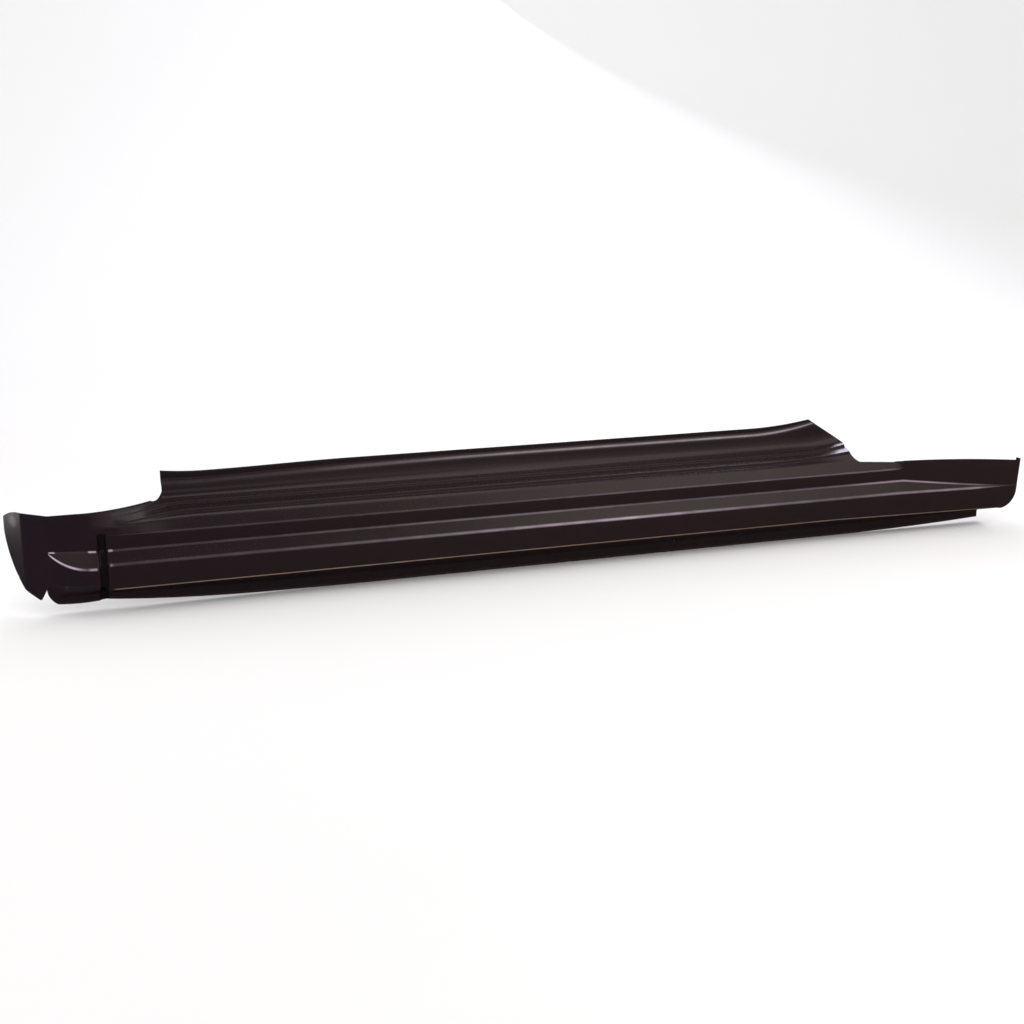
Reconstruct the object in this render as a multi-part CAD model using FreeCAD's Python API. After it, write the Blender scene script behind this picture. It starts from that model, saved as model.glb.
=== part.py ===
import FreeCAD, Part
import math
import os

# Outer rocker panel of a two-door car, left-hand side, pressed from one steel sheet.
# X runs along the car from the front wheelhouse to the rear wheel arch, Y runs inboard
# and Z runs up. The section is drawn as the outer skin, from the door opening's weld
# flange down to the pinch weld, and the sheet lies inboard of that skin. The drawing is
# set out from the nose crease at X = 0 and the sill line, the foot of its lower face, at
# Y = 0 and Z = 0. The finished panel's origin is on the pinch weld's inboard face.

# Sheet
SHEET = 1.0

# Section under the door, from the sill line up to the shoulder
LOWER_FACE_H = 37.0
BAND_DEPTH = 15.0
BAND_H = 17.5
UPPER_FACE_H = 21.5
SHOULDER_DEPTH = 14.5
SHOULDER_H = 17.0
SILL_LINE_R = 3.0
BAND_CREST_R = 6.0
BAND_ROOT_R = 5.0
UPPER_CREASE_R = 4.0
SHOULDER_R = 14.0

# Door step: a ledge, a bead, a trough, the wall and the door opening's weld flange
LEDGE_LEAD = 10.0
LEDGE_LIFT = 2.0
LEDGE_STEP = 4.8
LEDGE_DEPTH = 27.0
LEDGE_RISE = 2.4
BEAD_STEP = 3.8
BEAD_R = 1.5
STEP_LEAN = 1.2
STEP_DEPTH = 68.5
TROUGH_R = 26.0
TROUGH_RISE = 1.5
WALL_LEAN = 4.0
WALL_H = 37.0
WALL_TOP_R = 3.0
FLANGE_SETBACK = 8.5
FLANGE_LIFT = 5.5
FLANGE_FOOT_R = 4.0
FLANGE_H = 8.0

# Tuck-under and pinch weld, under the sill line
PINCH_Y = 32.0
PINCH_DEPTH = 36.0
PINCH_DEPTH_FRONT = 22.0
PINCH_DEPTH_REAR = 28.0
PINCH_SETTLE_L = 519.0
TUCK_SHARE = 0.53
TUCK_FOOT_R = 4.0
WELD_LINE_UP = 7.5
DATUM_L = 834.0

# Front nose, from the crease at X = 0 to the upright groove. Z is from the sill line.
NOSE_L = 64.0
CURL_L = 6.0
CURL = 1.7
CREST_CLOSING = 2.3
SILL_CLOSING = 4.0
NOSE_SILL_Z = 10.0
NOSE_SILL_END_Z = 16.0
NOSE_CREST_DROP = 4.5
NOSE_CREASE_Z = 1.5
NOSE_CREASE_RISE = 7.0
NOSE_ROOT_RISE = 4.5
NOSE_SHOULDER_UP = 12.0
NOSE_TOP_UP = 36.0
NOSE_BULGE = 2.4
NOSE_TOE_R = 11.0
NOSE_TOE_L = 4.0
NOSE_TOE_Z = -3.0
GROOVE_LEAD = 3.0
GROOVE_W = 14.0
GROOVE_DEPTH = 3.6
GROOVE_SIDE = 0.45
GROOVE_TUCK = 0.6

# Wheelhouse wall ahead of the nose, and its lip
WALL_RUN = 33.0
WALL_INBOARD = 22.0
LIP_RUN = 22.0
LIP_INBOARD = 34.0
LIP_BEND_R = 14.0
WALL_TIP_INBOARD = 9.3
WALL_TIP_Z = -12.5
LIP_BELLY_INSET = 11.7
LIP_BELLY_Z = 39.0
LIP_END_DROP = 9.0
LIP_CREST_UP = 2.0
LIP_CREST_BOW = 1.5

# Front end of the door step, measured on from the groove
SHOULDER_SETTLE_L = 27.0
STEP_LEAD = 89.5
STEP_SETTLE_L = 34.5
STEP_FRONT_RISE = 4.0
LEDGE_TURN_L = 135.0
NECK_X = 41.0
NECK_POWER = 1.75
NECK_RISE = 6.5
NECK_SAG_L = 66.0
NECK_SAG = 1.8
NECK_END_L = 20.0
NECK_DROP = 2.6
NECK_TURN_L = 5.0
NECK_TURN_DROP = 1.5
NECK_TURN_RISE = 6.0
SAG_LEAD = 30.0
FLANGE_SAG = 3.4
FLANGE_SAG_L = 225.0
WALL_SAG = 9.0
WALL_SAG_POWER = 1.5
WALL_SAG_L = 465.0

# Length, and the rear end of the door step, measured forward from the wheel arch. Each
# line has risen by its own sweep once it has run SWEEP_RUN behind its start.
PANEL_L = 1650.0
SWEEP_RUN = 200.0
SWEEP_L = 490.0
FLANGE_SWEEP = 27.0
WALL_SWEEP = 40.0
LEDGE_SWEEP_L = 500.0
LEDGE_SWEEP = 11.6
BEAD_SWEEP_L = 405.0
BEAD_SWEEP = 48.0
REAR_CUT_SKEW = 0.33
REAR_CUT_TOP_L = 407.5
REAR_CUT_KNEE_L = 345.0
REAR_CUT_KNEE_UP = 40.0
REAR_CUT_BOW_L = 337.0
REAR_CUT_BOW_UP = 24.0
STRIP_L = 314.0
STRIP_FRONT_UP = 15.0
STRIP_REAR_UP = 10.7

# Rear quarter and its wheel arch flange
SILL_FALL_L = 370.0
SILL_FALL = 7.3
SILL_EDGE = 0.4
CREST_FALL = 5.0
QUARTER_L = 250.0
QUARTER_STEP_L = 16.0
QUARTER_LEAN = 0.04
QUARTER_OUT = 0.97
QUARTER_OUT_POWER = 1.4
QUARTER_TOP_UP = 13.4
QUARTER_BOW = 3.5
QUARTER_TOP_DROP = 12.6
ARCH_FLANGE_UP = 3.0
BAND_CLOSE_L = 18.0
PINCH_END_L = 62.0
ARCH_CORNER_R = 34.0
ARCH_LEAN = 6.0
ARCH_FLANGE_W = 13.0

# Outlines and sections reach past the panel, to be cut back or to cut it
FAR = 400.0
OUTBOARD = 50.0
TAIL = 10.0

# Heights over the sill line
ROOT_Z = LOWER_FACE_H + BAND_H
CREASE_Z = ROOT_Z + UPPER_FACE_H
SHOULDER_Z = CREASE_Z + SHOULDER_H
LEDGE_FOOT_Z = SHOULDER_Z + LEDGE_LIFT
LEDGE_BACK_Z = LEDGE_FOOT_Z + LEDGE_STEP + LEDGE_RISE
WALL_TOP_Z = LEDGE_FOOT_Z + WALL_H
FLANGE_FOOT_Z = WALL_TOP_Z + FLANGE_LIFT
FLANGE_TOP_Z = FLANGE_FOOT_Z + FLANGE_H
NOSE_TOP_Z = CREASE_Z + NOSE_TOP_UP
STRIP_FRONT_Z = CREASE_Z + STRIP_FRONT_UP
STRIP_REAR_Z = CREASE_Z + STRIP_REAR_UP
QUARTER_TOP_Z = CREASE_Z + QUARTER_TOP_UP
QUARTER_END_Z = QUARTER_TOP_Z - QUARTER_TOP_DROP

# Depths behind the sill line
SHOULDER_Y = BAND_DEPTH + SHOULDER_DEPTH
LEDGE_FOOT_Y = SHOULDER_Y + LEDGE_LEAD
FLANGE_Y = LEDGE_FOOT_Y + STEP_DEPTH

# Stations along the panel
GROOVE_X = NOSE_L + GROOVE_LEAD
GROOVE_END_X = GROOVE_X + GROOVE_W
SHOULDER_SETTLE_X = GROOVE_END_X + SHOULDER_SETTLE_L
STEP_FRONT_X = GROOVE_END_X + STEP_LEAD
STEP_SETTLE_X = STEP_FRONT_X + STEP_SETTLE_L
SAG_X = STEP_SETTLE_X + SAG_LEAD
PINCH_FULL_X = GROOVE_END_X + PINCH_SETTLE_L
DATUM_X = GROOVE_END_X + DATUM_L
SWEEP_X = PANEL_L - SWEEP_L
LEDGE_SWEEP_X = PANEL_L - LEDGE_SWEEP_L
BEAD_SWEEP_X = PANEL_L - BEAD_SWEEP_L
REAR_CUT_TOP_X = PANEL_L - REAR_CUT_TOP_L
REAR_CUT_KNEE_X = PANEL_L - REAR_CUT_KNEE_L
REAR_CUT_BOW_X = PANEL_L - REAR_CUT_BOW_L
STRIP_X = PANEL_L - STRIP_L
SILL_FALL_X = PANEL_L - SILL_FALL_L
QUARTER_X = PANEL_L - QUARTER_L
QUARTER_START_X = QUARTER_X + QUARTER_STEP_L
BAND_CLOSE_X = PANEL_L - BAND_CLOSE_L
PINCH_END_X = PANEL_L - PINCH_END_L

POINT_NAMES = (
    "flange_top", "flange_foot", "wall_top", "trough", "bead_edge", "bead_foot",
    "ledge_edge", "ledge_foot", "shoulder", "upper_crease", "band_root", "band_crest",
    "sill_line", "tuck_foot", "pinch_edge",
)
CORNER_RADII = {
    "flange_foot": FLANGE_FOOT_R, "wall_top": WALL_TOP_R, "trough": TROUGH_R,
    "bead_edge": BEAD_R, "bead_foot": BEAD_R, "ledge_edge": BEAD_R,
    "ledge_foot": BEAD_R, "shoulder": SHOULDER_R, "upper_crease": UPPER_CREASE_R,
    "band_root": BAND_ROOT_R, "band_crest": BAND_CREST_R, "sill_line": SILL_LINE_R,
    "tuck_foot": TUCK_FOOT_R,
}
# The most of its shorter side that a bend may take up
CORNER_ROOM = {"trough": 0.72, "wall_top": 0.25, "bead_edge": 0.25}
CORNER_ROOM_ELSEWHERE = 0.45


def share(x, start, end):
    """How far x lies between two stations, from 0 to 1."""
    return min(max((x - start) / (end - start), 0.0), 1.0)


def eased(s):
    """A share that leaves 0 and reaches 1 without a kink."""
    return s * s * (3.0 - 2.0 * s)


def blend(a, b, s):
    """The point a fraction s of the way from a to b."""
    return (a[0] + (b[0] - a[0]) * s, a[1] + (b[1] - a[1]) * s)


def plus(a, b):
    return (a[0] + b[0], a[1] + b[1])


def nose_curl(x):
    """How far the nose has curled inboard where it turns into the wheelhouse wall."""
    return CURL * (1.0 - share(x, 0.0, CURL_L)) ** 2


def pinch_depth(x):
    """Drop of the pinch weld's edge under the sill line, least at both ends."""
    if x < GROOVE_END_X:
        return PINCH_DEPTH_FRONT + NOSE_BULGE * math.sin(math.pi * max(x, 0.0) / GROOVE_END_X)
    if x < PINCH_FULL_X:
        run = 1.0 - share(x, GROOVE_END_X, PINCH_FULL_X)
        return PINCH_DEPTH - (PINCH_DEPTH - PINCH_DEPTH_FRONT) * run ** 4
    run = share(x, SILL_FALL_X, PINCH_END_X)
    return PINCH_DEPTH - (PINCH_DEPTH - PINCH_DEPTH_REAR) * run ** 2


def lower_points(x):
    """Upper crease, sloping band, lower face, tuck-under and pinch weld."""
    depth = pinch_depth(x)
    fall = share(x, SILL_FALL_X, PANEL_L)
    crest_fall = share(x, QUARTER_X, PANEL_L)
    return {
        "upper_crease": (BAND_DEPTH, CREASE_Z),
        "band_root": (BAND_DEPTH, ROOT_Z),
        "band_crest": (0.0, LOWER_FACE_H - CREST_FALL * crest_fall),
        "sill_line": (0.0, -SILL_FALL * fall),
        "tuck_foot": (PINCH_Y, -depth * TUCK_SHARE),
        "pinch_edge": (PINCH_Y, -depth),
    }


def swept(x, start, sweep):
    """How far a line has risen at x, where it sweeps up behind its start."""
    return sweep * (max(x - start, 0.0) / SWEEP_RUN) ** 2


def flange_rise(x):
    """The door flange's height over its middle run: it sags ahead and sweeps up behind."""
    ahead = (max(SAG_X - x, 0.0) / (SAG_X - STEP_FRONT_X)) ** 2
    sag = FLANGE_SAG * eased(1.0 - share(x, SAG_X, SAG_X + FLANGE_SAG_L))
    return swept(x, SWEEP_X, FLANGE_SWEEP) + STEP_FRONT_RISE * ahead - sag


def wall_rise(x):
    """The wall top's height over its middle run."""
    sag = WALL_SAG * (1.0 - share(x, SAG_X, SAG_X + WALL_SAG_L)) ** WALL_SAG_POWER
    return swept(x, SWEEP_X, WALL_SWEEP) - sag


def upper_points(x):
    """Shoulder, ledge, bead, trough, wall and door flange, with the rear sweep."""
    flange_z = flange_rise(x)
    wall_z = wall_rise(x)
    ledge_foot = (LEDGE_FOOT_Y, LEDGE_FOOT_Z + swept(x, LEDGE_SWEEP_X, LEDGE_SWEEP))
    ledge_edge = plus(ledge_foot, (STEP_LEAN, LEDGE_STEP))
    bead_z = LEDGE_BACK_Z + swept(x, BEAD_SWEEP_X, BEAD_SWEEP)
    bead_foot = (ledge_edge[0] + LEDGE_DEPTH, bead_z)
    bead_edge = plus(bead_foot, (STEP_LEAN, BEAD_STEP))
    wall_y = FLANGE_Y - FLANGE_SETBACK
    return {
        "flange_top": (FLANGE_Y, FLANGE_TOP_Z + flange_z),
        "flange_foot": (FLANGE_Y, FLANGE_FOOT_Z + (flange_z + wall_z) / 2),
        "wall_top": (wall_y, WALL_TOP_Z + wall_z),
        "trough": (wall_y - WALL_LEAN, bead_edge[1] + TROUGH_RISE),
        "bead_edge": bead_edge,
        "bead_foot": bead_foot,
        "ledge_edge": ledge_edge,
        "ledge_foot": ledge_foot,
        "shoulder": (SHOULDER_Y, SHOULDER_Z),
    }


def turn_ledge_up(p, x):
    """Ahead of the door step the ledge narrows, turns up and loses its steps."""
    if x >= STEP_SETTLE_X:
        return
    turned = eased(min((STEP_SETTLE_X - x) / LEDGE_TURN_L, 1.0))
    narrowed = 1.0 - share(x, NECK_X, STEP_FRONT_X) ** NECK_POWER
    nose_y = BAND_DEPTH + nose_curl(x)
    foot, top = p["shoulder"], p["trough"]
    new_foot = blend(foot, (nose_y, CREASE_Z + NOSE_SHOULDER_UP), turned)
    rise = NECK_RISE * (1.0 - share(x, NECK_X, STEP_FRONT_X)) ** 2
    new_top = (top[0] + (nose_y - top[0]) * narrowed, top[1] + rise)
    for name in ("ledge_foot", "ledge_edge", "bead_foot", "bead_edge"):
        across = (p[name][0] - foot[0]) / (top[0] - foot[0])
        step = p[name][1] - blend(foot, top, across)[1]
        p[name] = plus(blend(new_foot, new_top, across), (0.0, step * (1.0 - turned)))
    p["shoulder"] = new_foot
    p["trough"] = new_top
    if x < STEP_FRONT_X:
        stack_over_trough(p, x, top[0])


def stack_over_trough(p, x, trough_y):
    """Ahead of the step the wall and flange stand up over the ledge, where they are cut off."""
    away = 1.0 - share(x, 0.0, STEP_FRONT_X)
    y, z = p["trough"]
    up = FLANGE_H
    for name in ("wall_top", "flange_foot", "flange_top"):
        lean = (p[name][0] - trough_y) * (1.0 - away)
        p[name] = (y + lean, blend(p[name], (y, z + up), away)[1])
        up += FLANGE_H


def shape_nose(p, x):
    """Raised creases, and a lower face that closes in until the band runs out."""
    if x > GROOVE_X + GROOVE_W / 2:
        return
    front = 1.0 - share(x, 0.0, NOSE_L)
    curl = nose_curl(x)
    closing = front ** CREST_CLOSING
    root = (BAND_DEPTH + curl, ROOT_Z + NOSE_ROOT_RISE * front)
    crest = (0.0, LOWER_FACE_H - NOSE_CREST_DROP)
    crease_z = CREASE_Z + NOSE_CREASE_Z + NOSE_CREASE_RISE * front
    sill_z = NOSE_SILL_Z + (NOSE_SILL_END_Z - NOSE_SILL_Z) * front ** SILL_CLOSING
    p["upper_crease"] = (BAND_DEPTH + curl, crease_z)
    p["band_root"] = root
    p["band_crest"] = blend(crest, (root[0], root[1] - BEAD_R), closing)
    p["sill_line"] = ((BAND_DEPTH + curl) * closing, sill_z)


def press_groove(p, x):
    """The upright groove, pressed inboard from the upper crease down."""
    middle = GROOVE_X + GROOVE_W / 2
    away = abs(x - middle) / (GROOVE_W / 2)
    depth = GROOVE_DEPTH * eased(min(1.0, max(1.0 - away, 0.0) / GROOVE_SIDE))
    for name in ("upper_crease", "band_root", "band_crest", "sill_line", "pinch_edge"):
        p[name] = plus(p[name], (depth, 0.0))
    p["tuck_foot"] = plus(p["tuck_foot"], (depth, depth * GROOVE_TUCK))


def shape_quarter(p, x):
    """One face that runs outboard behind the door until it meets the band's crest."""
    if x < QUARTER_START_X:
        return
    run = share(x, QUARTER_START_X, BAND_CLOSE_X)
    out = QUARTER_OUT * (1.0 - (1.0 - run) ** QUARTER_OUT_POWER)
    root = blend(p["band_root"], p["band_crest"], out)
    p["band_root"] = root
    height = CREASE_Z
    for name in POINT_NAMES[9::-1]:
        p[name] = (root[0] + QUARTER_LEAN * (height - root[1]), height)
        height += SHOULDER_H / 2


def section_points(x):
    """Skin points at station x, from the door flange's edge to the pinch weld's edge."""
    p = lower_points(x)
    p.update(upper_points(x))
    turn_ledge_up(p, x)
    shape_nose(p, x)
    press_groove(p, x)
    shape_quarter(p, x)
    return [p[name] for name in POINT_NAMES]


def inboard_normal(a, b):
    """Unit normal of a downward skin segment, pointing inboard."""
    dy, dz = b[0] - a[0], b[1] - a[1]
    size = math.hypot(dy, dz)
    return (-dz / size, dy / size)


def offset_line(points, distance):
    """The open polyline moved inboard, each side parallel to its old place."""
    sides = [inboard_normal(a, b) for a, b in zip(points, points[1:])]
    befores = sides[:1] + sides
    afters = sides + sides[-1:]
    moved = []
    for point, n, m in zip(points, befores, afters):
        size = 1.0 + n[0] * m[0] + n[1] * m[1]
        shift = ((n[0] + m[0]) * distance / size, (n[1] + m[1]) * distance / size)
        moved.append(plus(point, shift))
    return moved


def corner_turn(a, b, c):
    """Signed turn of the skin at b, in radians."""
    before = math.atan2(b[1] - a[1], b[0] - a[0])
    after = math.atan2(c[1] - b[1], c[0] - b[0])
    return (after - before + math.pi) % (2 * math.pi) - math.pi


def vector(x, point):
    return FreeCAD.Vector(x, point[0], point[1])


def line(x, a, b):
    return Part.LineSegment(vector(x, a), vector(x, b)).toShape()


def corner_edge(x, before, corner, after, reach, turn):
    """The bend at a corner: an arc tangent to both sides, or a line where they are one."""
    if abs(turn) < math.radians(0.5):
        return line(x, before, after)
    radius = reach / math.tan(abs(turn) / 2)
    sagitta = math.hypot(radius, reach) - radius
    chord_mid = blend(before, after, 0.5)
    middle = blend(corner, chord_mid, sagitta / math.dist(corner, chord_mid))
    return Part.Arc(vector(x, before), vector(x, middle), vector(x, after)).toShape()


def rounded_edges(x, points, inside):
    """Lines and arcs along a skin line; a bend's inside radius is a sheet smaller."""
    edges = []
    start = points[0]
    for i in range(1, len(points) - 1):
        a, b, c = points[i - 1:i + 2]
        turn = corner_turn(a, b, c)
        radius = CORNER_RADII[POINT_NAMES[i]]
        if inside:
            radius += SHEET if turn < 0 else -SHEET
        wanted = max(radius, 0.3) * math.tan(abs(turn) / 2)
        room = CORNER_ROOM.get(POINT_NAMES[i], CORNER_ROOM_ELSEWHERE)
        room *= min(math.dist(a, b), math.dist(b, c))
        reach = max(min(wanted, room), 0.05)
        before = blend(b, a, reach / math.dist(a, b))
        after = blend(b, c, reach / math.dist(b, c))
        edges.append(line(x, start, before))
        edges.append(corner_edge(x, before, b, after, reach, turn))
        start = after
    edges.append(line(x, start, points[-1]))
    return edges


def sheet_wire(x):
    """Closed outline of the sheet's section at station x."""
    skin = section_points(x)
    back = offset_line(skin, SHEET)
    edges = rounded_edges(x, skin, False)
    edges.append(line(x, skin[-1], back[-1]))
    edges += rounded_edges(x, back, True)[::-1]
    edges.append(line(x, back[0], skin[0]))
    return Part.Wire(edges)


def between(start, end, shares):
    """Stations at some shares of the way from start to end."""
    return [start + (end - start) * s for s in shares]


def stations():
    """Where the section changes: nose, groove, step, long run, sweep and quarter."""
    nose = between(0.0, NOSE_L, (0.0, 0.04, 0.09, 0.17, 0.3, 0.5))
    groove = between(GROOVE_X, GROOVE_END_X, (0.0, 0.12, 0.24, 0.76, 0.88, 1.0))
    step = [SHOULDER_SETTLE_X] + between(SHOULDER_SETTLE_X, STEP_FRONT_X, (0.5, 1.0))
    step += between(STEP_FRONT_X, STEP_SETTLE_X, (0.5, 1.0))
    long_run = between(SAG_X, SAG_X + FLANGE_SAG_L, (0.0, 0.45, 1.0))
    long_run += [PINCH_FULL_X, SAG_X + WALL_SAG_L]
    sweep = between(SWEEP_X, SWEEP_X + SWEEP_RUN, (0.0, 0.25, 0.42, 0.9, 1.08))
    sweep += [BEAD_SWEEP_X, SILL_FALL_X]
    quarter = between(QUARTER_START_X, BAND_CLOSE_X, (0.0, 0.25, 0.53, 0.8, 1.0))
    ends = [-TAIL, QUARTER_X, PANEL_L + TAIL]
    return sorted(set(nose + groove + step + long_run + sweep + quarter + ends))


def through_panel(edges, skew=0.0):
    """A solid from a closed side-view outline, pushed inboard through the whole panel."""
    face = Part.Face(Part.Wire(edges))
    face.translate(FreeCAD.Vector(-OUTBOARD * skew, -OUTBOARD, 0))
    return face.extrude(FreeCAD.Vector(FAR * skew, FAR, 0))


def side(x, z):
    """A point of the side view, outboard of the panel."""
    return FreeCAD.Vector(x, 0, z)


def path(*corners):
    """Straight edges through side-view corners."""
    points = [side(*c) for c in corners]
    return [Part.LineSegment(a, b).toShape() for a, b in zip(points, points[1:])]


def side_arc(a, b, c):
    return Part.Arc(side(*a), side(*b), side(*c)).toShape()


def nose_top_cutter():
    """Everything above the nose's top edge and its curved neck, ahead of the door step."""
    start = (NECK_X, NOSE_TOP_Z)
    sag = (STEP_FRONT_X - NECK_SAG_L, NOSE_TOP_Z - NECK_SAG)
    end = (STEP_FRONT_X - NECK_END_L, NOSE_TOP_Z - NECK_DROP)
    turn = (STEP_FRONT_X - NECK_TURN_L, NOSE_TOP_Z - NECK_TURN_DROP)
    top = (STEP_FRONT_X, NOSE_TOP_Z + NECK_TURN_RISE)
    edges = path((-FAR, FAR), (-FAR, NOSE_TOP_Z), start)
    edges += [side_arc(start, sag, end), side_arc(end, turn, top)]
    edges += path(top, (STEP_FRONT_X, FAR), (-FAR, FAR))
    return through_panel(edges)


def step_rear_cutter():
    """Everything behind the door step's rear cut, which runs aslant in plan."""
    flange_x = REAR_CUT_TOP_X + REAR_CUT_SKEW * FLANGE_Y
    top = (REAR_CUT_TOP_X, FLANGE_TOP_Z + swept(flange_x, SWEEP_X, FLANGE_SWEEP))
    knee = (REAR_CUT_KNEE_X, CREASE_Z + REAR_CUT_KNEE_UP)
    bow = (REAR_CUT_BOW_X, CREASE_Z + REAR_CUT_BOW_UP)
    foot = (STRIP_X - REAR_CUT_SKEW * SHOULDER_Y, STRIP_FRONT_Z)
    edges = path((REAR_CUT_TOP_X, FAR), top, knee)
    edges.append(side_arc(knee, bow, foot))
    edges += path(foot, (PANEL_L + FAR, STRIP_FRONT_Z), (PANEL_L + FAR, FAR), (REAR_CUT_TOP_X, FAR))
    return through_panel(edges, REAR_CUT_SKEW)


def rear_top_cutter():
    """Everything above the strip behind the step and above the quarter's bowed top."""
    half_x = (QUARTER_START_X + PANEL_L) / 2
    bow_z = QUARTER_TOP_Z - QUARTER_BOW
    end_z = QUARTER_END_Z
    edges = path(
        (STRIP_X, FAR), (STRIP_X, STRIP_FRONT_Z), (QUARTER_X, STRIP_REAR_Z),
        (QUARTER_START_X, QUARTER_TOP_Z),
    )
    edges.append(side_arc((QUARTER_START_X, QUARTER_TOP_Z), (half_x, bow_z), (PANEL_L, end_z)))
    edges += path((PANEL_L, end_z), (PANEL_L + FAR, end_z), (PANEL_L + FAR, FAR), (STRIP_X, FAR))
    return through_panel(edges)


def arch_edges(inset):
    """Side-view line of the wheel arch's edge, from the sill line up past the quarter."""
    r = ARCH_CORNER_R - inset
    foot_x = PANEL_L - ARCH_LEAN - inset
    cx = foot_x - r
    cz = -SILL_FALL + ARCH_CORNER_R
    mid = (cx + r * math.sqrt(0.5), cz - r * math.sqrt(0.5))
    top = (PANEL_L - inset + SHEET, QUARTER_TOP_Z)
    edges = [side_arc((cx, cz - r), mid, (foot_x, cz))]
    edges += path((foot_x, cz), top)
    return edges, (cx, cz - r), top


def inside_arch(inset):
    """The space ahead of the wheel arch's edge."""
    edges, foot, top = arch_edges(inset)
    return through_panel(edges + path(top, (GROOVE_X, top[1]), (GROOVE_X, foot[1]), foot))


def rear_foot_cutter():
    """Behind the pinch weld's end the sheet stops at the sill line."""
    fall = SILL_FALL * share(PINCH_END_X, SILL_FALL_X, PANEL_L)
    front = (PINCH_END_X, -fall - SILL_EDGE)
    rear = (PANEL_L + FAR, -SILL_FALL - SILL_EDGE)
    return through_panel(path(front, rear, (PANEL_L + FAR, -FAR), (PINCH_END_X, -FAR), front))


def toe_cutter():
    """Everything ahead of the front crease, and of the tuck-under's rounded toe below it."""
    low = pinch_depth(NOSE_TOE_R)
    crease = (0.0, NOSE_SILL_END_Z)
    toe = (-NOSE_TOE_L, NOSE_TOE_Z)
    heel = (NOSE_TOE_R, -low - SHEET / 2)
    edges = path((0.0, FAR), crease) + [side_arc(crease, toe, heel)]
    edges += path(heel, (NOSE_TOE_R, -FAR), (-FAR, -FAR), (-FAR, FAR), (0.0, FAR))
    return through_panel(edges)


def arch_flange():
    """The flange turned inboard along the wheel arch's edge."""
    skin_wires = []
    for x in (BAND_CLOSE_X - ARCH_CORNER_R, BAND_CLOSE_X, PANEL_L + TAIL):
        skin = section_points(x)
        keep = [skin[0], skin[10], skin[11], skin[12]]
        back = [(ARCH_FLANGE_W, keep[-1][1]), (ARCH_FLANGE_W, keep[0][1])]
        corners = [vector(x, point) for point in keep + back]
        skin_wires.append(Part.makePolygon(corners + corners[:1]))
    behind_skin = Part.makeLoft(skin_wires, True, True)
    top_z = QUARTER_END_Z + ARCH_FLANGE_UP
    below_top = Part.makeBox(FAR, FAR, FAR, FreeCAD.Vector(QUARTER_X, -OUTBOARD, top_z - FAR))
    edge_band = inside_arch(0.0).cut(inside_arch(SHEET))
    return edge_band.common(behind_skin).common(below_top)


def wheelhouse_wall():
    """Wall that turns inboard to face the front wheel, bent once more into its lip."""
    start = (0.0, BAND_DEPTH + CURL)
    bend = (-WALL_RUN, start[1] + WALL_INBOARD)
    end = (bend[0] - LIP_RUN, bend[1] + LIP_INBOARD)
    skin = [end, bend, start]
    back = offset_line(skin, SHEET)
    wall_slope = WALL_INBOARD / WALL_RUN
    back[-1] = (0.0, back[-1][1] + wall_slope * back[-1][0])
    edges = plan_edges(skin, LIP_BEND_R) + [plan_line(skin[-1], back[-1])]
    edges += plan_edges(back, LIP_BEND_R - SHEET)[::-1] + [plan_line(back[0], skin[0])]
    band = Part.Face(Part.Wire(edges)).extrude(FreeCAD.Vector(0, 0, FAR))
    return band.common(wall_outline(start[1], end[1]))


def plan_point(point):
    return FreeCAD.Vector(point[0], point[1], -FAR / 2)


def plan_line(a, b):
    return Part.LineSegment(plan_point(a), plan_point(b)).toShape()


def plan_edges(points, radius):
    """Line, bend and line of the wall's plan view."""
    a, b, c = points
    turn = corner_turn(a, b, c)
    reach = radius * math.tan(abs(turn) / 2)
    before = blend(b, a, reach / math.dist(a, b))
    after = blend(b, c, reach / math.dist(b, c))
    sagitta = math.hypot(radius, reach) - radius
    chord_mid = blend(before, after, 0.5)
    middle = blend(b, chord_mid, sagitta / math.dist(b, chord_mid))
    arc = Part.Arc(plan_point(before), plan_point(middle), plan_point(after)).toShape()
    return [plan_line(a, before), arc, plan_line(after, c)]


def front(y, z):
    """A point of the front view, ahead of the panel."""
    return FreeCAD.Vector(-FAR, y, z)


def front_path(*corners):
    """Straight edges through front-view corners."""
    points = [front(*c) for c in corners]
    return [Part.LineSegment(a, b).toShape() for a, b in zip(points, points[1:])]


def wall_outline(crease_y, end_y):
    """Front-view outline of the wall: straight by the crease, a long curve round the lip."""
    ridge_y = crease_y + WALL_INBOARD
    root = (-OUTBOARD, NOSE_SILL_END_Z)
    tip = (crease_y + WALL_TIP_INBOARD, WALL_TIP_Z)
    belly = (end_y - LIP_BELLY_INSET, LIP_BELLY_Z)
    lip_end = (end_y + SHEET, NOSE_TOP_Z - LIP_END_DROP)
    crest = (ridge_y, NOSE_TOP_Z + LIP_CREST_UP)
    shoulder = ((ridge_y + end_y) / 2, crest[1] - LIP_CREST_BOW)
    edges = front_path(root, (crease_y, NOSE_SILL_END_Z), tip)
    edges.append(Part.Arc(front(*tip), front(*belly), front(*lip_end)).toShape())
    edges.append(Part.Arc(front(*lip_end), front(*shoulder), front(*crest)).toShape())
    edges += front_path(crest, (crease_y, NOSE_TOP_Z), (-OUTBOARD, NOSE_TOP_Z), root)
    return Part.Face(Part.Wire(edges)).extrude(FreeCAD.Vector(2 * FAR, 0, 0))


def behind_arch():
    """Everything behind the wheel arch's edge."""
    behind = Part.makeBox(FAR, 2 * FAR, 2 * FAR, FreeCAD.Vector(PINCH_END_X, -FAR, -FAR))
    return behind.cut(inside_arch(0.0))


def pressed_sheet():
    """The long pressing: one loft through its sections, trimmed along its edges."""
    sheet = Part.makeLoft([sheet_wire(x) for x in stations()], True, True)
    trims = [nose_top_cutter(), step_rear_cutter(), rear_top_cutter(), rear_foot_cutter()]
    sheet = sheet.cut(Part.Compound(trims + [toe_cutter()]))
    return sheet.cut(behind_arch())


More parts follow.
